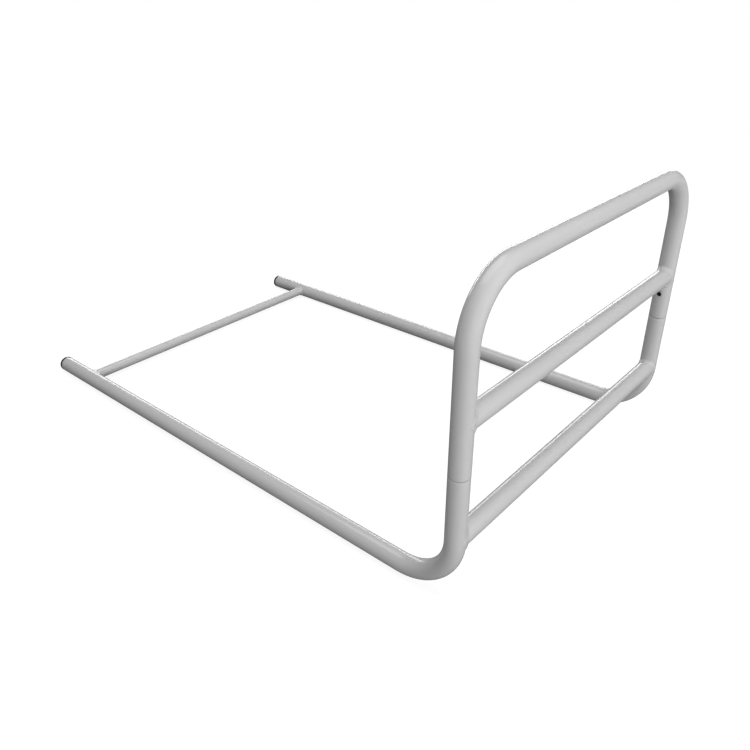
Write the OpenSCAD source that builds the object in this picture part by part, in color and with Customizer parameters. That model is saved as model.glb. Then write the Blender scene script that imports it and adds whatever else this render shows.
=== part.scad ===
// Bed assist rail: a welded base that slides under a mattress, and a
// lift-off hand rail that drops over two spigots and is locked by snap clips.
// The rail stands at the front (-Y), the legs run back under the mattress (+Y).
// Origin: centre of the footprint, on the plane that the legs lie on. Millimetres.

/* [Frame] */
// Outside diameter of the frame tube
tube_d = 25.4; // [19:0.1:32]
// Wall of the frame tube
tube_wall = 1.6; // [1.2:0.1:2]
// Distance between the axes of the two uprights
upright_spacing = 525; // [400:1:700]
// Overall depth, from the front of the welds on the uprights to the back of the end caps
base_depth = 882; // [600:1:1100]
// Overall height, from the bed base to the top of the grip
rail_h = 411; // [340:1:520]
// Centreline radius of the bend between leg and upright
leg_bend_r = 77; // [50:1:80]
// Centreline radius of the two bends of the hand rail
handle_bend_r = 72; // [45:1:100]

/* [Cross bars] */
// Outside diameter of the lower and the middle cross bar
bar_d = 25.4; // [16:0.1:25.4]
// Height of the axis of the lower cross bar
lower_bar_h = 91; // [80:1:120]
// Height of the axis of the middle cross bar
mid_bar_h = 245; // [240:1:280]
// Outside diameter of the rear brace
brace_d = 17; // [12:0.5:22]
// Wall of the rear brace
brace_wall = 1.5; // [1:0.1:2]
// Distance from the back of the end caps to the axis of the rear brace
brace_inset = 83; // [50:1:150]
// Leg length of the weld fillets
weld_leg = 4.5; // [1.5:0.1:6]
// How far a fillet stands proud at the front and the back of an upright
weld_proud = 1; // [0.5:0.1:2]

/* [Joint] */
// Height of the seam between base and hand rail
seam_h = 180; // [150:1:190]
// Open gap at the seam, so that the hand rail doesn't bind
seam_gap = 0.3; // [0.2:0.05:0.6]
// Radial clearance of the spigot in both tubes
spigot_clearance = 0.1; // [0.05:0.01:0.1]
// Wall of the spigot
spigot_wall = 1.6; // [1.2:0.1:2]
// Length of the spigot below the seam, fixed in the base
spigot_below = 60; // [40:1:80]
// Length of the spigot above the seam, which the hand rail slides over
spigot_above = 70; // [56:1:90]

/* [Snap clips] */
// Diameter of the button
button_d = 6; // [5:0.5:8]
// Radial clearance of the button in its holes
button_clearance = 0.25; // [0.15:0.05:0.4]
// Height of the button above the seam
button_rise = 38.5; // [25:0.5:45]
// How far the button stands out of the hand rail
button_proud = 0.8; // [0:0.1:3]
// Thickness of the clip's two arms
clip_t = 1.6; // [1.2:0.1:2]
// Width of the clip
clip_w = 9; // [7:0.5:10]
// Distance from the button down to the clip's bend
clip_drop = 34; // [20:1:40]
// Length of the button arm above the button
clip_tail = 7; // [5:1:12]
// Gap between the arms' edges and the bore of the spigot
clip_gap = 0.3; // [0.2:0.05:0.5]

/* [End caps] */
// Length of the cap's head, behind the tube
cap_head = 6; // [3:0.5:10]
// Edge radius of the head
cap_edge_r = 1.5; // [1:0.5:5]
// Length of the plug inside the tube
cap_plug = 22; // [12:1:30]
// Wall of the plug
cap_plug_wall = 2; // [1.5:0.5:3]
// Radial clearance of the plug in the tube
cap_clearance = 0.1; // [0.05:0.05:0.2]

/* [Hidden] */
$fn = 96;
eps = 0.01;
over = 1;
tube_r = tube_d / 2;
tube_ir = tube_r - tube_wall;
bar_r = bar_d / 2;
brace_r = brace_d / 2;
upright_x = upright_spacing / 2;
upright_y = -base_depth / 2 + weld_proud + tube_r;
leg_end_y = base_depth / 2 - cap_head;
brace_y = base_depth / 2 - brace_inset;
top_bar_z = rail_h - tube_r;
leg_bend_z = tube_r + leg_bend_r;
handle_bend_z = top_bar_z - handle_bend_r;
spigot_r = tube_ir - spigot_clearance;
spigot_ir = spigot_r - spigot_wall;
button_z = seam_h + button_rise;
button_hole_r = button_d / 2 + button_clearance;
// The weld round the brace stays above the plane that the legs lie on
brace_weld_leg = min(weld_leg, tube_r - brace_r - 0.2);
// Half width of the clip, where its edges come near the bore of the spigot
clip_x = sqrt(pow(spigot_ir, 2) - pow(clip_w / 2, 2)) - clip_gap;
clip_bend_z = button_z - clip_drop;
frame_grey = [0.82, 0.82, 0.82];
weld_grey = [0.78, 0.78, 0.78];
zinc = [0.62, 0.63, 0.65];
black = [0.07, 0.07, 0.07];

// Puts a shape that is drawn at x = 0 on the left (-1) or right (+1) upright,
// with its own +X turned towards the other upright
module at_upright(side) {
    translate([side * upright_x, 0, 0])
        mirror([side > 0 ? 1 : 0, 0, 0])
            children();
}

// A bar of radius r along X, from the axis of one upright to the other
module bar_along_x(r, extra = 0) {
    translate([-upright_x - extra, 0, 0])
        rotate([0, 90, 0])
            cylinder(h = upright_spacing + 2 * extra, r = r);
}

// One L-shaped leg as a solid rod of radius r: under the mattress, round, and up
module leg_rod(r, extra = 0) {
    translate([0, upright_y + leg_bend_r, tube_r])
        rotate([-90, 0, 0])
            cylinder(h = leg_end_y + extra - upright_y - leg_bend_r, r = r);
    translate([0, upright_y + leg_bend_r, leg_bend_z])
        rotate([-90, 0, 0])
            rotate([0, 90, 0])
                rotate_extrude(angle = 90)
                    translate([leg_bend_r, 0])
                        circle(r = r);
    translate([0, upright_y, leg_bend_z])
        cylinder(h = seam_h - seam_gap + extra - leg_bend_z, r = r);
}

module leg_tube(side) {
    color(frame_grey)
        at_upright(side)
            difference() {
                leg_rod(tube_r);
                leg_rod(tube_ir, over);
            }
}

// The hand rail as a solid rod of radius r: up, over and down again
module handle_rod(r, extra = 0) {
    for (side = [-1, 1])
        at_upright(side) {
            translate([0, upright_y, seam_h - extra])
                cylinder(h = handle_bend_z - seam_h + extra, r = r);
            translate([handle_bend_r, upright_y, handle_bend_z])
                rotate([90, 0, 0])
                    rotate([0, 0, 90])
                        rotate_extrude(angle = 90)
                            translate([handle_bend_r, 0])
                                circle(r = r);
        }
    translate([-upright_x + handle_bend_r, upright_y, top_bar_z])
        rotate([0, 90, 0])
            cylinder(h = upright_spacing - 2 * handle_bend_r, r = r);
}

module handle_tube() {
    color(frame_grey)
        difference() {
            handle_rod(tube_r);
            handle_rod(tube_ir, over);
            for (side = [-1, 1])
                at_upright(side)
                    button_hole();
        }
}

// Cut from the axis of an upright through the wall that faces the other one
module button_hole() {
    translate([0, upright_y, button_z])
        rotate([0, 90, 0])
            cylinder(h = tube_r + over, r = button_hole_r);
}

// Cross bar between the uprights, its ends coped to fit round them
module lower_cross_bar() {
    color(frame_grey)
        difference() {
            translate([0, upright_y, lower_bar_h])
                bar_along_x(bar_r);
            translate([0, upright_y, lower_bar_h])
                bar_along_x(bar_r - tube_wall, over);
            for (side = [-1, 1])
                at_upright(side)
                    leg_rod(tube_r);
        }
}

module mid_cross_bar() {
    color(frame_grey)
        difference() {
            translate([0, upright_y, mid_bar_h])
                bar_along_x(bar_r);
            translate([0, upright_y, mid_bar_h])
                bar_along_x(bar_r - tube_wall, over);
            handle_rod(tube_r);
        }
}

// Thin tube between the two legs, coped to their inner sides
module rear_brace() {
    color(frame_grey)
        difference() {
            translate([0, brace_y, tube_r])
                bar_along_x(brace_r);
            translate([0, brace_y, tube_r])
                bar_along_x(brace_r - brace_wall, over);
            for (side = [-1, 1])
                at_upright(side)
                    leg_rod(tube_r);
        }
}

// Inner sleeve, fixed in the base, which the hand rail slides down over
module spigot(side) {
    color(zinc)
        at_upright(side)
            difference() {
                translate([0, upright_y, seam_h - spigot_below])
                    cylinder(h = spigot_below + spigot_above, r = spigot_r);
                translate([0, upright_y, seam_h - spigot_below - over])
                    cylinder(h = spigot_below + spigot_above + 2 * over, r = spigot_ir);
                button_hole();
            }
}

// Hairpin clip, moulded in one piece with its button. It sits inside the spigot.
module snap_clip(side) {
    color(black)
        at_upright(side)
            translate([0, upright_y, 0]) {
                difference() {
                    translate([0, clip_w / 2, clip_bend_z])
                        rotate([90, 0, 0])
                            cylinder(h = clip_w, r = clip_x);
                    translate([0, clip_w / 2 + over, clip_bend_z])
                        rotate([90, 0, 0])
                            cylinder(h = clip_w + 2 * over, r = clip_x - clip_t);
                    translate([-clip_x - over, -clip_w / 2 - over, clip_bend_z])
                        cube([2 * (clip_x + over), clip_w + 2 * over, clip_x + over]);
                }
                translate([clip_x - clip_t, -clip_w / 2, clip_bend_z])
                    cube([clip_t, clip_w, clip_drop + clip_tail]);
                translate([-clip_x, -clip_w / 2, clip_bend_z])
                    cube([clip_t, clip_w, clip_drop]);
                translate([clip_x - eps, 0, button_z])
                    rotate([0, 90, 0])
                        button();
            }
}

// Button with a low domed face. Its base is sunk a hair into the arm.
module button() {
    button_l = tube_r + button_proud - clip_x + eps;
    dome_h = button_d / 8;
    dome_r = (pow(button_d / 2, 2) + pow(dome_h, 2)) / (2 * dome_h);
    intersection() {
        cylinder(h = button_l, d = button_d);
        translate([0, 0, button_l - dome_r])
            sphere(r = dome_r);
    }
}

// Push-in cap: a flat head with an eased edge behind the tube, and a hollow plug in its bore
module end_cap(side) {
    color(black)
        at_upright(side)
            translate([0, leg_end_y, tube_r])
                rotate([-90, 0, 0])
                    difference() {
                        union() {
                            cap_head_solid();
                            translate([0, 0, -cap_plug])
                                cylinder(h = cap_plug + eps, r = tube_ir - cap_clearance);
                        }
                        translate([0, 0, -cap_plug - over])
                            cylinder(
                                h = cap_plug + over,
                                r = tube_ir - cap_clearance - cap_plug_wall
                            );
                    }
}

module cap_head_solid() {
    edge = min(cap_edge_r, cap_head - 1);
    rotate_extrude()
        union() {
            square([tube_r - edge, cap_head]);
            square([tube_r, cap_head - edge]);
            translate([tube_r - edge, cap_head - edge])
                intersection() {
                    circle(r = edge);
                    square(edge);
                }
        }
}

// Fillet round the end of a cross bar that meets the left upright at height z
module upright_weld(z) {
    difference() {
        intersection() {
            translate([0, upright_y, z])
                weld_outline(bar_r, weld_leg);
            translate([0, upright_y, z - bar_r - 2 * weld_leg])
                cylinder(h = 2 * (bar_r + 2 * weld_leg), r = tube_r + weld_leg);
            translate([0, upright_y - tube_r - weld_proud, z - bar_r - 2 * weld_leg])
                cube([2 * tube_r, 2 * (tube_r + weld_proud), 2 * (bar_r + 2 * weld_leg)]);
        }
        translate([-over, upright_y, z])
            rotate([0, 90, 0])
                cylinder(h = 3 * tube_r + bar_r, r = bar_r);
        children();
    }
}

// Outside of a weld with legs of this length, round a bar of radius r along X.
// Its free side slopes at 45 degrees from the tube down to the bar.
module weld_outline(r, leg) {
    slope_end = tube_r + 0.9 * leg;
    rotate([0, 90, 0])
        intersection() {
            cylinder(h = tube_r + leg, r = r + leg);
            cylinder(h = slope_end + r / 2, r1 = slope_end + r, r2 = r / 2);
        }
}

module lower_weld(side) {
    color(weld_grey)
        at_upright(side)
            upright_weld(lower_bar_h)
                leg_rod(tube_r);
}

module mid_weld(side) {
    color(weld_grey)
        at_upright(side)
            upright_weld(mid_bar_h)
                translate([0, upright_y, seam_h])
                    cylinder(h = handle_bend_z - seam_h, r = tube_r);
}

// Fillet round the end of the rear brace, on the inner side of a leg
module brace_weld(side) {
    color(weld_grey)
        at_upright(side)
            difference() {
                intersection() {
                    translate([0, brace_y, tube_r])
                        weld_outline(brace_r, brace_weld_leg);
                    translate([0, brace_y - brace_d, tube_r])
                        rotate([-90, 0, 0])
                            cylinder(h = 2 * brace_d, r = tube_r + brace_weld_leg);
                }
                translate([-over, brace_y, tube_r])
                    rotate([0, 90, 0])
                        cylinder(h = 3 * tube_r, r = brace_r);
                translate([0, brace_y - 2 * brace_d, tube_r])
                    rotate([-90, 0, 0])
                        cylinder(h = 4 * brace_d, r = tube_r);
            }
}

leg_tube(-1);  // left_leg_tube
leg_tube(1);  // right_leg_tube
lower_cross_bar();
rear_brace();
spigot(-1);  // left_spigot
spigot(1);  // right_spigot
end_cap(-1);  // left_end_cap
end_cap(1);  // right_end_cap
handle_tube();
mid_cross_bar();
snap_clip(-1);  // left_snap_clip
snap_clip(1);  // right_snap_clip
lower_weld(-1);  // left_lower_weld
lower_weld(1);  // right_lower_weld
brace_weld(-1);  // left_brace_weld
brace_weld(1);  // right_brace_weld
mid_weld(-1);  // left_mid_weld
mid_weld(1);  // right_mid_weld
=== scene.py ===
import math

import bmesh
import bpy
from mathutils import Matrix, Vector


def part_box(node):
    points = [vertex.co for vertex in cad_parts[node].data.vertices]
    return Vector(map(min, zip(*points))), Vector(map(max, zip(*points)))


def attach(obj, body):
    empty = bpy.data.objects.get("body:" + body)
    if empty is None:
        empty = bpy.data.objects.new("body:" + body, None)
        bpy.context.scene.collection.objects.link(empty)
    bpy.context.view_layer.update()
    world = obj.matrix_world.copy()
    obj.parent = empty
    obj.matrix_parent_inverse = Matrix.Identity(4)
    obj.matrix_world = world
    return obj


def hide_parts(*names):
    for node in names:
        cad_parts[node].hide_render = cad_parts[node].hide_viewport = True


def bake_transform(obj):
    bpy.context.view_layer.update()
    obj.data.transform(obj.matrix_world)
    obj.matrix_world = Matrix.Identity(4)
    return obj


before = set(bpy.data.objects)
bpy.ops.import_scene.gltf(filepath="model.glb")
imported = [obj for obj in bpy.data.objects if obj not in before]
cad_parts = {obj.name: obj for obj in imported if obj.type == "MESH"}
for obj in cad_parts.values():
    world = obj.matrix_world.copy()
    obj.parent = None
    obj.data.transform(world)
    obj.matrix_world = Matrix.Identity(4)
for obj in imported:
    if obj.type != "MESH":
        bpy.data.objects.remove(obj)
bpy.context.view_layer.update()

# ---------------------------------------------------------------------------
# Camera. It stands in front and to the left of the rail, a little above it,
# close enough for the near leg to look much thicker than the far one.

azimuth, elevation, roll = (math.radians(angle) for angle in (-49.08, 29.27, -0.42))
camera_back = Vector((
    math.sin(azimuth) * math.cos(elevation),
    -math.cos(azimuth) * math.cos(elevation),
    math.sin(elevation),
))
camera_right = Vector((math.cos(azimuth), math.sin(azimuth), 0))
camera_turn = Matrix((camera_right, camera_back.cross(camera_right), camera_back)).transposed()
camera = bpy.data.objects.new("camera", bpy.data.cameras.new("camera"))
camera.matrix_world = (
    Matrix.Translation((-0.7825, -0.7621, 0.6444))
    @ camera_turn.to_4x4()
    @ Matrix.Rotation(roll, 4, "Z")
)
camera.data.sensor_width = 36
camera.data.lens = 34.85
bpy.context.scene.collection.objects.link(camera)
bpy.context.scene.camera = camera

# ---------------------------------------------------------------------------
# The two legs: 25.4 mm steel tube, each bent once on a mandrel, so that one run
# lies under the mattress and the other stands up to the seam. Powder coated.


def add_node(tree, kind, inputs=(), **settings):
    """One node of a tree. inputs maps a socket's name to a value or to another node's output."""
    node = tree.nodes.new(kind)
    for key, value in settings.items():
        setattr(node, key, value)
    for key, value in dict(inputs).items():
        if isinstance(value, bpy.types.NodeSocket):
            tree.links.new(value, node.inputs[key])
        else:
            node.inputs[key].default_value = value
    return node


def maths(tree, operation, *values):
    """The output of one Math node. Each value is a number or another node's output."""
    return add_node(tree, "ShaderNodeMath", dict(enumerate(values)), operation=operation).outputs[0]


def open_tree(name, sizes):
    """A Geometry Nodes tree with one input for each size, and its input and output nodes."""
    tree = bpy.data.node_groups.new(name, "GeometryNodeTree")
    tree.interface.new_socket("Geometry", in_out="INPUT", socket_type="NodeSocketGeometry")
    for size, kind in sizes.items():
        tree.interface.new_socket(size, in_out="INPUT", socket_type="NodeSocket" + kind)
    tree.interface.new_socket("Geometry", in_out="OUTPUT", socket_type="NodeSocketGeometry")
    return tree, tree.nodes.new("NodeGroupInput").outputs


def close_tree(tree, geometry, finish):
    """Ends a tree in plain mesh with its material on."""
    whole = add_node(tree, "GeometryNodeRealizeInstances", {"Geometry": geometry})
    coated = add_node(
        tree, "GeometryNodeSetMaterial", {"Geometry": whole.outputs[0], "Material": finish}
    )
    add_node(tree, "NodeGroupOutput", {"Geometry": coated.outputs[0]})
    return tree


def settle(piece):
    """Bakes a piece's modifiers into its mesh, with the normals turned outwards."""
    seen = piece.evaluated_get(bpy.context.evaluated_depsgraph_get())
    mesh = bpy.data.meshes.new_from_object(seen)
    shell = bmesh.new()
    shell.from_mesh(mesh)
    bmesh.ops.remove_doubles(shell, verts=shell.verts, dist=1e-6)
    bmesh.ops.recalc_face_normals(shell, faces=shell.faces)
    shell.to_mesh(mesh)
    shell.free()
    name = piece.name
    bpy.data.objects.remove(piece)
    settled = bpy.data.objects.new(name, mesh)
    bpy.context.scene.collection.objects.link(settled)
    return settled


def run_tree(name, source, tree, sizes):
    """Runs a tree on source (a curve or a mesh) and returns the baked piece."""
    piece = bpy.data.objects.new(name, source)
    bpy.context.scene.collection.objects.link(piece)
    modifier = piece.modifiers.new("build", "NODES")
    modifier.node_group = tree
    for socket in tree.interface.items_tree:
        if socket.in_out == "INPUT" and socket.name in sizes:
            modifier[socket.identifier] = sizes[socket.name]
    return settle(piece)


def centreline(points, closed=False):
    """A curve of straight stretches through the points."""
    curve = bpy.data.curves.new("centreline", "CURVE")
    curve.dimensions = "3D"
    spline = curve.splines.new("POLY")
    spline.points.add(len(points) - 1)
    for knot, point in zip(spline.points, points):
        knot.co = (*point, 1)
    spline.use_cyclic_u = closed
    return curve


def tube_tree():
    """Bends a centreline at its corners and draws a round tube along it."""
    tree, sizes = open_tree("bent_tube", {
        "Outside Diameter": "Float", "Bend Radius": "Float",
        "Ring Spacing": "Float", "Segments": "Int", "Coat": "Material",
    })
    bend = add_node(tree, "GeometryNodeFilletCurve", {
        "Curve": sizes["Geometry"], "Count": 48,
        "Radius": sizes["Bend Radius"], "Limit Radius": True,
    }, mode="POLY")
    rings = add_node(tree, "GeometryNodeResampleCurve", {
        "Curve": bend.outputs[0], "Length": sizes["Ring Spacing"],
    }, mode="LENGTH")
    section = add_node(tree, "GeometryNodeCurvePrimitiveCircle", {
        "Resolution": sizes["Segments"],
        "Radius": maths(tree, "MULTIPLY", sizes["Outside Diameter"], 0.5),
    })
    wall = add_node(tree, "GeometryNodeCurveToMesh", {
        "Curve": rings.outputs[0], "Profile Curve": section.outputs[0],
    })
    smooth = add_node(tree, "GeometryNodeSetShadeSmooth", {0: wall.outputs[0]})
    return close_tree(tree, smooth.outputs[0], sizes["Coat"])


def coat_finish(name, grey, peel=0.04):
    """Semi-gloss powder coat: faint orange peel, and a tone and gloss that drift a little."""
    finish = bpy.data.materials.new(name)
    finish.use_nodes = True
    tree = finish.node_tree
    shader = tree.nodes["Principled BSDF"]
    shader.inputs["IOR"].default_value = 1.5
    place = add_node(tree, "ShaderNodeTexCoord").outputs["Object"]
    drift = add_node(tree, "ShaderNodeTexNoise", {"Vector": place, "Scale": 9.0, "Detail": 3.0})
    tone = add_node(tree, "ShaderNodeValToRGB", {"Fac": drift.outputs["Fac"]})
    tone.color_ramp.elements[0].position = 0.3
    tone.color_ramp.elements[0].color = (*[grey * 0.985] * 3, 1)
    tone.color_ramp.elements[1].position = 0.7
    tone.color_ramp.elements[1].color = (*[grey] * 3, 1)
    tree.links.new(tone.outputs["Color"], shader.inputs["Base Color"])
    patches = add_node(tree, "ShaderNodeTexNoise", {"Vector": place, "Scale": 55.0, "Detail": 4.0})
    gloss = add_node(tree, "ShaderNodeMapRange", {
        "Value": patches.outputs["Fac"], "From Min": 0.3, "From Max": 0.7,
        "To Min": 0.19, "To Max": 0.21,
    })
    tree.links.new(gloss.outputs["Result"], shader.inputs["Roughness"])
    grain = add_node(tree, "ShaderNodeTexNoise", {"Vector": place, "Scale": 700.0, "Detail": 2.0})
    bump = add_node(tree, "ShaderNodeBump", {
        "Strength": peel, "Distance": 0.0002, "Height": grain.outputs["Fac"],
    })
    tree.links.new(bump.outputs["Normal"], shader.inputs["Normal"])
    return finish


def open_pipe(
    name, points, diameter, wall, bend, finish, ring_spacing=0.005, segments=80, eased=0.0002,
):
    """A bent pipe with a real wall, its mouths eased as a deburred cut is."""
    pipe = run_tree(name, centreline(points), bent_tube, {
        "Outside Diameter": diameter, "Bend Radius": bend,
        "Ring Spacing": ring_spacing, "Segments": segments, "Coat": finish,
    })
    skin = pipe.modifiers.new("wall", "SOLIDIFY")
    skin.thickness = wall
    skin.offset = -1
    if eased:
        ease = pipe.modifiers.new("eased_mouth", "BEVEL")
        ease.width = eased
        ease.segments = 3
        ease.limit_method = "ANGLE"
        ease.angle_limit = math.radians(50)
    return settle(pipe)


bent_tube = tube_tree()
frame_coat = coat_finish("frame_coat", 0.62)
tube_wall = 0.0016
leg_bend = 0.077
# Each cut end at the seam is faced back by this much, which leaves an open line
seam_relief = 0.00015

for side in ("left", "right"):
    low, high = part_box(f"{side}_leg_tube")
    tube_radius = (high[0] - low[0]) / 2
    upright_x = (high[0] + low[0]) / 2
    upright_y = low[1] + tube_radius
    leg = open_pipe(f"{side}_leg", [
        (upright_x, high[1], tube_radius),
        (upright_x, upright_y, tube_radius),
        (upright_x, upright_y, high[2] - seam_relief),
    ], 2 * tube_radius, tube_wall, leg_bend, frame_coat)
    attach(leg, "base")
    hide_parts(f"{side}_leg_tube")

half_span = abs(upright_x)

# ---------------------------------------------------------------------------
# The cross bars and the rear brace: straight tubes, their ends milled hollow
# to sit round the uprights or legs, then welded and coated with the frame.


def cope_tree():
    """Hollows the ends of a straight tube along X, so that they fit round two tubes along Z."""
    tree, sizes = open_tree("coped_ends", {
        "Half Span": "Float", "Upright Radius": "Float", "Coat": "Material",
    })
    place = add_node(tree, "GeometryNodeInputPosition")
    point = add_node(tree, "ShaderNodeSeparateXYZ", {0: place.outputs[0]}).outputs
    # How far the upright's surface stands from its axis, level with each point of the bar
    squared = maths(
        tree, "SUBTRACT",
        maths(tree, "POWER", sizes["Upright Radius"], 2.0), maths(tree, "POWER", point["Y"], 2.0),
    )
    hollow = maths(tree, "SQRT", maths(tree, "MAXIMUM", squared, 0.0))
    kept = maths(tree, "SUBTRACT", 1.0, maths(tree, "DIVIDE", hollow, sizes["Half Span"]))
    moved = add_node(tree, "ShaderNodeCombineXYZ", {
        "X": maths(tree, "MULTIPLY", point["X"], kept), "Y": point["Y"], "Z": point["Z"],
    })
    coped = add_node(tree, "GeometryNodeSetPosition", {
        0: sizes["Geometry"], "Position": moved.outputs[0],
    })
    return close_tree(tree, coped.outputs[0], sizes["Coat"])


coped_ends = cope_tree()
brace_wall = 0.0015
# Turns what fits a tube along Z to fit one along Y
lying_leg = Matrix.Rotation(math.radians(90), 4, "X")
cross_bars = {
    "lower_cross_bar": ("base", Matrix.Identity(4), tube_wall),
    "mid_cross_bar": ("handle", Matrix.Identity(4), tube_wall),
    "rear_brace": ("base", lying_leg, brace_wall),
}

for node, (body, turn, wall) in cross_bars.items():
    low, high = (Vector(corner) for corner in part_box(node))
    blank = open_pipe(
        node + "_blank", [(-half_span, 0, 0), (half_span, 0, 0)],
        high.z - low.z, wall, 0, frame_coat, segments=96, eased=0,
    )
    bar = run_tree(node + "_tube", blank.data, coped_ends, {
        "Half Span": half_span, "Upright Radius": tube_radius, "Coat": frame_coat,
    })
    bpy.data.objects.remove(blank)
    bar.data.transform(Matrix.Translation((low + high) / 2) @ turn)
    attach(bar, body)
    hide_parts(node)

# ---------------------------------------------------------------------------
# The hand rail: one tube bent twice into a U. Its legs slide down over the
# spigots to the seam, and each has a drilled hole for a snap button.


def bore(piece, centre, radius, reach):
    """Drills a hole along X from the centre, reach long (its sign gives the way)."""
    middle = Vector(centre) + Vector((reach / 2, 0, 0))
    drill = bmesh.new()
    bmesh.ops.create_cone(
        drill, cap_ends=True, segments=48, radius1=radius, radius2=radius, depth=abs(reach),
        matrix=Matrix.Translation(middle) @ Matrix.Rotation(math.pi / 2, 4, "Y"),
    )
    mesh = bpy.data.meshes.new("drill")
    drill.to_mesh(mesh)
    drill.free()
    cutter = bpy.data.objects.new("drill", mesh)
    bpy.context.scene.collection.objects.link(cutter)
    cut = piece.modifiers.new("hole", "BOOLEAN")
    cut.object = cutter
    cut.operation = "DIFFERENCE"
    cut.solver = "EXACT"
    drilled = settle(piece)
    bpy.data.objects.remove(cutter)
    return drilled


low, high = (Vector(corner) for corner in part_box("handle_tube"))
handle_bend = 0.072
hole_radius = 0.00325
# The button is 7 mm below the top of its arm
button_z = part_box("left_snap_clip")[1][2] - 0.007
handle = open_pipe("hand_rail", [
    (-half_span, upright_y, low.z + seam_relief),
    (-half_span, upright_y, high.z - tube_radius),
    (half_span, upright_y, high.z - tube_radius),
    (half_span, upright_y, low.z + seam_relief),
], 2 * tube_radius, tube_wall, handle_bend, frame_coat)
for side in (-1, 1):
    handle = bore(handle, (side * half_span, upright_y, button_z), hole_radius, -side * 2 * tube_radius)
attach(handle, "handle")
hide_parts("handle_tube")

# ---------------------------------------------------------------------------
# Welds: a rippled fillet round each end of each bar, laid down as a row of
# overlapping puddles and coated with the frame.


def bead_tree():
    """Swells a smooth fillet into a laid bead, with one low step for each puddle."""
    tree, sizes = open_tree("weld_bead", {
        "Puddle Pitch": "Float", "Puddle Height": "Float", "Lumpiness": "Float",
        "Seed": "Float", "Coat": "Material",
    })
    along = add_node(tree, "GeometryNodeInputNamedAttribute", {"Name": "along"})
    crown = add_node(tree, "GeometryNodeInputNamedAttribute", {"Name": "crown"})
    puddles = maths(tree, "DIVIDE", along.outputs[0], sizes["Puddle Pitch"])
    # Each step lags towards the crown, so that the puddles are bowed
    part = maths(tree, "FRACT", maths(tree, "MULTIPLY_ADD", crown.outputs[0], 0.8, puddles))
    rise = maths(tree, "SUBTRACT", 1.0, maths(tree, "POWER", part, 2.0))
    puddle = maths(tree, "MULTIPLY", rise, sizes["Puddle Height"])
    sway = add_node(tree, "ShaderNodeTexNoise", {
        "Vector": add_node(tree, "GeometryNodeInputPosition").outputs[0],
        "W": sizes["Seed"], "Scale": 130.0, "Detail": 1.0,
    }, noise_dimensions="4D")
    lump = add_node(tree, "ShaderNodeMapRange", {
        "Value": sway.outputs[0], "From Min": 0.35, "From Max": 0.75,
        "To Min": 0.0, "To Max": sizes["Lumpiness"],
    })
    swell = maths(tree, "ADD", puddle, lump.outputs[0])
    offset = add_node(tree, "ShaderNodeVectorMath", {
        0: add_node(tree, "GeometryNodeInputNormal").outputs[0],
        "Scale": maths(tree, "MULTIPLY", swell, crown.outputs[0]),
    }, operation="SCALE")
    bead = add_node(tree, "GeometryNodeSetPosition", {
        0: sizes["Geometry"], "Offset": offset.outputs[0],
    })
    smooth = add_node(tree, "GeometryNodeSetShadeSmooth", {0: bead.outputs[0]})
    return close_tree(tree, smooth.outputs[0], sizes["Coat"])


def fillet_mesh(bar_radius, leg, proud, place, turns=260, steps=10):
    """A closed fillet round a bar along +X that leaves a tube along Z at the origin.

    leg is how far the weld reaches along the bar and over the tube, and proud how far it
    stands out where the two surfaces run into each other. The attributes along (metres
    round the joint) and crown (0 at the weld's edges, 1 at its middle) steer the bead tree.
    """
    sunk = 0.0006
    # Keeps a bar as thick as the tube from reaching exactly a quarter turn round it
    just_under = 0.9999
    # How full the fillet is where the bar leaves the tube square on
    fullness = 0.45
    shell = bmesh.new()
    along = shell.verts.layers.float.new("along")
    crown = shell.verts.layers.float.new("crown")
    sections = []
    for number in range(turns):
        turn = 2 * math.pi * number / turns
        bar_normal = Vector((0, math.cos(turn), math.sin(turn)))
        swing = math.asin(bar_radius * math.cos(turn) / tube_radius * just_under)
        joint = Vector((
            tube_radius * math.cos(swing), bar_radius * math.cos(turn), bar_radius * math.sin(turn),
        ))
        # The same point on the tube's surface unrolled flat, moved away from the bar
        flat = Vector((tube_radius * swing, joint.z))
        flat *= 1 + leg / flat.length
        far_swing = flat.x / tube_radius
        tube_normal = Vector((math.cos(far_swing), math.sin(far_swing), 0))
        on_bar = joint + Vector((leg, 0, 0))
        on_tube = Vector((tube_radius * tube_normal.x, tube_radius * tube_normal.y, flat.y))
        facing = max(0.0, bar_normal.dot(tube_normal))
        lift = (1 - facing) * fullness * leg + facing * proud
        control = joint + (bar_normal + tube_normal).normalized() * lift
        outline = [(on_bar - bar_normal * sunk, 0.0)]
        for step in range(steps + 1):
            t = step / steps
            point = on_bar * (1 - t) ** 2 + control * (2 * t * (1 - t)) + on_tube * t ** 2
            outline.append((point, math.sin(math.pi * t)))
        outline.append((on_tube - tube_normal * sunk, 0.0))
        section = []
        for point, height in outline:
            vert = shell.verts.new(place @ point)
            vert[along] = number / turns * 2 * math.pi * (bar_radius + leg / 2)
            vert[crown] = height
            section.append(vert)
        sections.append(section)
    for section, after in zip(sections, sections[1:] + sections[:1]):
        for step in range(len(section)):
            follow = (step + 1) % len(section)
            shell.faces.new((section[step], section[follow], after[follow], after[step]))
    bmesh.ops.recalc_face_normals(shell, faces=shell.faces)
    mesh = bpy.data.meshes.new("fillet")
    shell.to_mesh(mesh)
    shell.free()
    return mesh


weld_bead = bead_tree()
weld_coat = coat_finish("weld_coat", 0.62, peel=0.08)
weld_leg = 0.0042
weld_proud = 0.0004
puddle_pitch = 0.0027
welds = {
    "lower_weld": ("base", "lower_cross_bar", Matrix.Identity(4), weld_proud),
    "mid_weld": ("handle", "mid_cross_bar", Matrix.Identity(4), weld_proud),
    "brace_weld": ("base", "rear_brace", lying_leg, 0.0),
}

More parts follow.
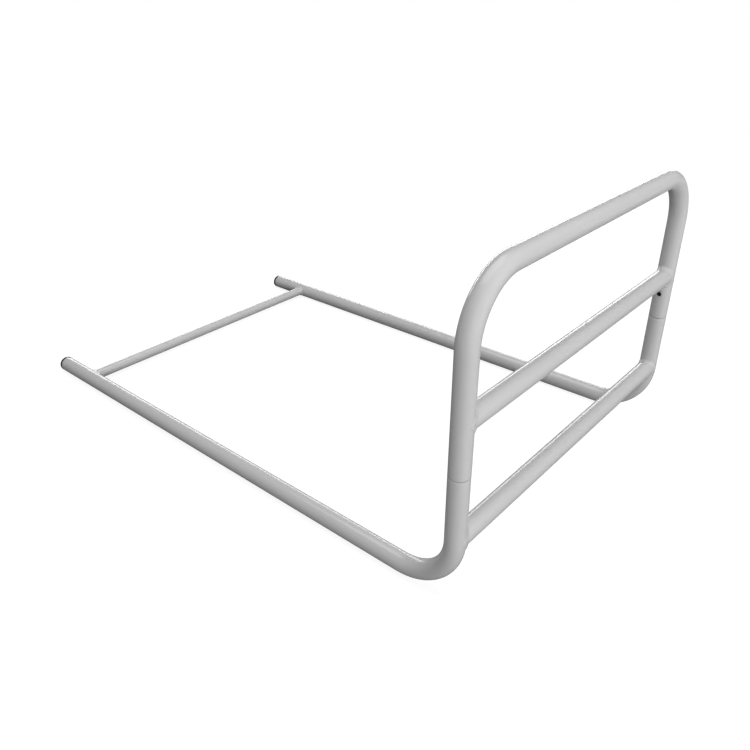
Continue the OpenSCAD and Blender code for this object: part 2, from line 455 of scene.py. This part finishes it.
for row, (weld, (body, bar_node, turn, proud)) in enumerate(welds.items()):
    low, high = (Vector(corner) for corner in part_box(bar_node))
    bar_radius = (high.z - low.z) / 2
    way_round = 2 * math.pi * (bar_radius + weld_leg / 2)
    for side, way in (("left", 1), ("right", -1)):
        centre = Vector((-way * half_span, (low.y + high.y) / 2, (low.z + high.z) / 2))
        place = Matrix.Translation(centre) @ turn @ Matrix.Diagonal((way, 1, 1, 1))
        fillet = fillet_mesh(bar_radius, weld_leg, proud, place)
        bead = run_tree(f"{side}_{weld}_bead", fillet, weld_bead, {
            "Puddle Pitch": way_round / round(way_round / puddle_pitch),
            "Puddle Height": 0.00035, "Lumpiness": 0.0005,
            "Seed": 3.0 * row + way, "Coat": weld_coat,
        })
        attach(bead, body)
        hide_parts(f"{side}_{weld}")

# ---------------------------------------------------------------------------
# Spigots: zinc-plated sleeves, pressed into the tops of the lower uprights.
# The hand rail's legs slide over them, and each is drilled for its button.


def zinc_finish():
    """Bright zinc plate with fine rub marks along the sleeve."""
    finish = bpy.data.materials.new("zinc_steel")
    finish.use_nodes = True
    tree = finish.node_tree
    shader = tree.nodes["Principled BSDF"]
    shader.inputs["Metallic"].default_value = 1.0
    place = add_node(tree, "ShaderNodeTexCoord").outputs["Object"]
    spangle = add_node(tree, "ShaderNodeTexNoise", {"Vector": place, "Scale": 180.0, "Detail": 5.0})
    tone = add_node(tree, "ShaderNodeValToRGB", {"Fac": spangle.outputs["Fac"]})
    tone.color_ramp.elements[0].color = (0.42, 0.43, 0.45, 1)
    tone.color_ramp.elements[1].color = (0.66, 0.67, 0.69, 1)
    tree.links.new(tone.outputs["Color"], shader.inputs["Base Color"])
    drawn = add_node(tree, "ShaderNodeMapping", {"Vector": place, "Scale": (2500.0, 2500.0, 40.0)})
    rubs = add_node(tree, "ShaderNodeTexNoise", {
        "Vector": drawn.outputs[0], "Scale": 1.0, "Detail": 2.0,
    })
    gloss = add_node(tree, "ShaderNodeMapRange", {
        "Value": rubs.outputs["Fac"], "From Min": 0.3, "From Max": 0.7,
        "To Min": 0.24, "To Max": 0.42,
    })
    tree.links.new(gloss.outputs["Result"], shader.inputs["Roughness"])
    bump = add_node(tree, "ShaderNodeBump", {
        "Strength": 0.15, "Distance": 0.0001, "Height": rubs.outputs["Fac"],
    })
    tree.links.new(bump.outputs["Normal"], shader.inputs["Normal"])
    return finish


zinc = zinc_finish()
spigot_wall = 0.0016

for side, way in (("left", 1), ("right", -1)):
    low, high = (Vector(corner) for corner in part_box(f"{side}_spigot"))
    spigot = open_pipe(f"{side}_sleeve", [
        (-way * half_span, upright_y, low.z), (-way * half_span, upright_y, high.z),
    ], high.x - low.x, spigot_wall, 0, zinc, ring_spacing=0.002, segments=72)
    mouth = (-way * half_span, upright_y, button_z)
    spigot = bore(spigot, mouth, hole_radius, way * 2 * tube_radius)
    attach(spigot, "base")
    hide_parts(f"{side}_spigot")

# ---------------------------------------------------------------------------
# Snap clips: a black nylon hairpin inside each spigot, moulded in one piece
# with its button, which stands through both tubes and locks the hand rail.


def nylon_finish(name, roughness):
    """Moulded black plastic with a fine spark-eroded grain."""
    finish = bpy.data.materials.new(name)
    finish.use_nodes = True
    tree = finish.node_tree
    shader = tree.nodes["Principled BSDF"]
    shader.inputs["IOR"].default_value = 1.45
    shader.inputs["Specular IOR Level"].default_value = 0.12
    place = add_node(tree, "ShaderNodeTexCoord").outputs["Object"]
    cloud = add_node(tree, "ShaderNodeTexNoise", {"Vector": place, "Scale": 120.0, "Detail": 3.0})
    tone = add_node(tree, "ShaderNodeValToRGB", {"Fac": cloud.outputs["Fac"]})
    tone.color_ramp.elements[0].color = (0.005, 0.005, 0.005, 1)
    tone.color_ramp.elements[1].color = (0.010, 0.010, 0.010, 1)
    tree.links.new(tone.outputs["Color"], shader.inputs["Base Color"])
    gloss = add_node(tree, "ShaderNodeMapRange", {
        "Value": cloud.outputs["Fac"], "From Min": 0.3, "From Max": 0.7,
        "To Min": roughness - 0.04, "To Max": roughness + 0.06,
    })
    tree.links.new(gloss.outputs["Result"], shader.inputs["Roughness"])
    grain = add_node(tree, "ShaderNodeTexNoise", {"Vector": place, "Scale": 2600.0, "Detail": 1.0})
    bump = add_node(tree, "ShaderNodeBump", {
        "Strength": 0.25, "Distance": 0.0001, "Height": grain.outputs["Fac"],
    })
    tree.links.new(bump.outputs["Normal"], shader.inputs["Normal"])
    return finish


def turned(profile, segments=64):
    """A closed round body from its half outline, (radius, height) from the bottom to the top."""
    body = bmesh.new()
    rings = []
    for radius, height in profile:
        if radius < 1e-7:
            rings.append([body.verts.new((0, 0, height))])
        else:
            angles = (2 * math.pi * step / segments for step in range(segments))
            rings.append([
                body.verts.new((radius * math.cos(turn), radius * math.sin(turn), height))
                for turn in angles
            ])
    for lower, upper in zip(rings, rings[1:]):
        for step in range(segments):
            corners = [
                lower[step % len(lower)], lower[(step + 1) % len(lower)],
                upper[(step + 1) % len(upper)], upper[step % len(upper)],
            ]
            body.faces.new(list(dict.fromkeys(corners)))
    return body


def round_edge(radius, height, edge, steps):
    """Points of a rounded top edge of a turned body, from its side to its flat."""
    return [
        (radius - edge + edge * math.cos(turn), height - edge + edge * math.sin(turn))
        for turn in (math.pi / 2 * step / steps for step in range(steps + 1))
    ]


def finished(name, body, finish, crease=40):
    """Turns a bmesh into a smooth-shaded piece with the given material."""
    bmesh.ops.recalc_face_normals(body, faces=body.faces)
    mesh = bpy.data.meshes.new(name)
    body.to_mesh(mesh)
    body.free()
    mesh.shade_smooth()
    mesh.set_sharp_from_angle(angle=math.radians(crease))
    mesh.materials.append(finish)
    piece = bpy.data.objects.new(name, mesh)
    bpy.context.scene.collection.objects.link(piece)
    return piece


def hairpin(reach, bend_z, back_z, front_z, steps=24):
    """The (x, z) points of a hairpin's outline: down the back arm, round the bend, up the front."""
    round_bend = [
        (-reach * math.cos(turn), bend_z - reach * math.sin(turn))
        for turn in (math.pi * step / steps for step in range(1, steps))
    ]
    return [(-reach, back_z), (-reach, bend_z), *round_bend, (reach, bend_z), (reach, front_z)]


black_nylon = nylon_finish("black_nylon", 0.42)
clip_thickness = 0.0016
button_radius = 0.003
button_edge = 0.0012
# The button starts this far inside its arm
button_sunk = 0.0002

for side, way in (("left", 1), ("right", -1)):
    low, high = (Vector(corner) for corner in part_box(f"{side}_snap_clip"))
    axis_x = -way * half_span
    width = high.y - low.y
    # The back arm's outer face gives how far both arms stand from the upright's axis
    arm_x = abs((low.x if way == 1 else high.x) - axis_x)
    bend_z = low.z + arm_x
    strip = bmesh.new()
    inner_x = arm_x - clip_thickness
    outer, inner = (hairpin(reach, bend_z, button_z, high.z) for reach in (arm_x, inner_x))
    columns = [[
        strip.verts.new((x, y, z)) for (x, z), y in (
            (a, -width / 2), (a, width / 2), (b, width / 2), (b, -width / 2)
        )
    ] for a, b in zip(outer, inner)]
    for column, after in zip(columns, columns[1:]):
        for step in range(4):
            follow = (step + 1) % 4
            strip.faces.new((column[step], column[follow], after[follow], after[step]))
    strip.faces.new(columns[0])
    strip.faces.new(columns[-1][::-1])
    bmesh.ops.recalc_face_normals(strip, faces=strip.faces)
    bmesh.ops.bevel(
        strip, geom=[e for e in strip.edges if e.calc_face_angle(0) > math.radians(60)],
        offset=0.0003, segments=3, affect="EDGES", profile=0.5,
    )
    top = abs((high.x if way == 1 else low.x) - axis_x)
    foot = inner_x + button_sunk
    outline = [(0, foot), (button_radius, foot), (button_radius, top - button_edge)]
    outline += [
        (button_radius * math.cos(turn), top - button_edge + button_edge * math.sin(turn))
        for turn in (math.pi / 2 * step / 10 for step in range(1, 10))
    ]
    outline += [(0, top)]
    button = turned(outline, 48)
    bmesh.ops.transform(
        button, verts=button.verts,
        matrix=Matrix.Translation((0, 0, button_z)) @ Matrix.Rotation(math.pi / 2, 4, "Y"),
    )
    moulding = bpy.data.meshes.new("button")
    button.to_mesh(moulding)
    button.free()
    strip.from_mesh(moulding)
    bmesh.ops.transform(
        strip, verts=strip.verts,
        matrix=Matrix.Translation((axis_x, upright_y, 0)) @ Matrix.Diagonal((way, 1, 1, 1)),
    )
    clip = finished(f"{side}_hairpin_clip", strip, black_nylon)
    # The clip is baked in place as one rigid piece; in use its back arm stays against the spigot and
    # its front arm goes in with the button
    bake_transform(clip)
    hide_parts(f"{side}_snap_clip")

# ---------------------------------------------------------------------------
# End caps: black plastic plugs pushed into the back ends of the legs. The flat
# head is as wide as the tube, its edge is eased, and fins on the plug grip the bore.

cap_plastic = nylon_finish("cap_plastic", 0.5)
cap_edge = 0.0014
fin_count = 4

for side in ("left", "right"):
    low, high = (Vector(corner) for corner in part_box(f"{side}_end_cap"))
    tube_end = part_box(f"{side}_leg_tube")[1][1]
    head = high.y - tube_end
    plug = tube_end - low.y
    plug_radius = tube_radius - tube_wall - 0.0001
    stem_radius = plug_radius - 0.0009
    # The plug is hollow from its inner end, and its lip is chamfered
    outline = [
        (stem_radius - 0.002, -0.001), (stem_radius - 0.002, -plug), (stem_radius - 0.0006, -plug),
    ]
    outline += [(stem_radius, -plug + 0.0006)]
    for fin in range(fin_count):
        start = -plug + 0.003 + fin * (plug - 0.004) / fin_count
        outline += [
            (stem_radius, start), (plug_radius, start + 0.0018),
            (plug_radius, start + 0.0024), (stem_radius, start + 0.0028),
        ]
    outline += [(stem_radius, 0), (tube_radius - 0.0004, 0), (tube_radius, 0.0004)]
    outline += round_edge(tube_radius, head - 0.0006, cap_edge, 10)
    outline += [(tube_radius - cap_edge - 0.003, head - 0.00025), (0.003, head), (0, head)]
    plug_body = turned([(0, -0.001)] + outline, 80)
    bmesh.ops.transform(
        plug_body, verts=plug_body.verts,
        matrix=Matrix.Translation(((low.x + high.x) / 2, tube_end, tube_radius))
        @ Matrix.Rotation(-math.pi / 2, 4, "X"),
    )
    cap = finished(f"{side}_cap", plug_body, cap_plastic, 32)
    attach(cap, "base")
    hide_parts(f"{side}_end_cap")

# ---------------------------------------------------------------------------
# The stage: a pale paper floor under a white room. A broad light overhead and a strip
# at the back right show in the coat; the key in front and the fill on the left don't.


def pale_to_the_eye(tree, socket, pale, bounced):
    """A colour that is pale when seen straight on and duller in the light it throws back."""
    ray = add_node(tree, "ShaderNodeLightPath")
    tone = add_node(tree, "ShaderNodeMix", {"Factor": ray.outputs["Is Camera Ray"]}, data_type="RGBA")
    tone.inputs[6].default_value = (*[bounced] * 3, 1)
    tone.inputs[7].default_value = (*[pale] * 3, 1)
    tree.links.new(tone.outputs[2], socket)


floor_reach = 6.0
floor_mesh = bpy.data.meshes.new("floor")
floor_mesh.from_pydata([
    (-floor_reach, -floor_reach, 0), (floor_reach, -floor_reach, 0),
    (floor_reach, floor_reach, 0), (-floor_reach, floor_reach, 0),
], [], [(0, 1, 2, 3)])
floor = bpy.data.objects.new("floor", floor_mesh)
bpy.context.scene.collection.objects.link(floor)
paper = bpy.data.materials.new("paper")
paper.use_nodes = True
sheet = paper.node_tree.nodes["Principled BSDF"]
sheet.inputs["Roughness"].default_value = 0.9
sheet.inputs["Specular IOR Level"].default_value = 0.1
sheet.inputs["Emission Strength"].default_value = 0.88
pale_to_the_eye(paper.node_tree, sheet.inputs["Base Color"], 0.22, 0.12)
pale_to_the_eye(paper.node_tree, sheet.inputs["Emission Color"], 1.0, 0.0)
# The paper fades into the white room before it ends
reach = add_node(paper.node_tree, "ShaderNodeVectorMath", {
    0: add_node(paper.node_tree, "ShaderNodeTexCoord").outputs["Object"],
}, operation="LENGTH")
fade = add_node(paper.node_tree, "ShaderNodeMapRange", {
    "Value": reach.outputs["Value"], "From Min": 0.9, "From Max": 2.4,
})
haze = add_node(paper.node_tree, "ShaderNodeEmission")
pale_to_the_eye(paper.node_tree, haze.inputs["Color"], 1.0, 0.4)
blend = add_node(paper.node_tree, "ShaderNodeMixShader", {
    0: fade.outputs[0], 1: sheet.outputs[0], 2: haze.outputs[0],
})
paper.node_tree.links.new(blend.outputs[0], paper.node_tree.nodes["Material Output"].inputs["Surface"])
floor_mesh.materials.append(paper)

room = bpy.data.worlds.new("room")
bpy.context.scene.world = room
room.use_nodes = True
pale_to_the_eye(room.node_tree, room.node_tree.nodes["Background"].inputs["Color"], 1.0, 0.12)


def softbox(name, place, target, width, height, watts, mirrored=True):
    """A flat area light at place, turned towards target. It may be kept out of reflections."""
    light = bpy.data.lights.new(name, "AREA")
    light.shape = "RECTANGLE"
    light.size = width
    light.size_y = height
    light.energy = watts
    lamp = bpy.data.objects.new(name, light)
    lamp.location = place
    lamp.rotation_euler = (Vector(target) - Vector(place)).to_track_quat("-Z", "Y").to_euler()
    lamp.visible_glossy = mirrored
    bpy.context.scene.collection.objects.link(lamp)


softbox("overhead", (0.1, 0.3, 3.0), (0, 0, 0), 2.6, 2.6, 52)
softbox("front_key", (0.4, -3.0, 0.2), (0, -0.3, 0.0), 3.0, 3.0, 84, mirrored=False)
softbox("left_fill", (-2.6, -2.6, 1.0), (0, 0, 0.1), 2.0, 2.0, 50, mirrored=False)
softbox("back_strip", (2.6, 2.4, 0.8), (0, 0, 0.1), 5.0, 0.9, 60)

bpy.context.scene.view_settings.view_transform = "Standard"
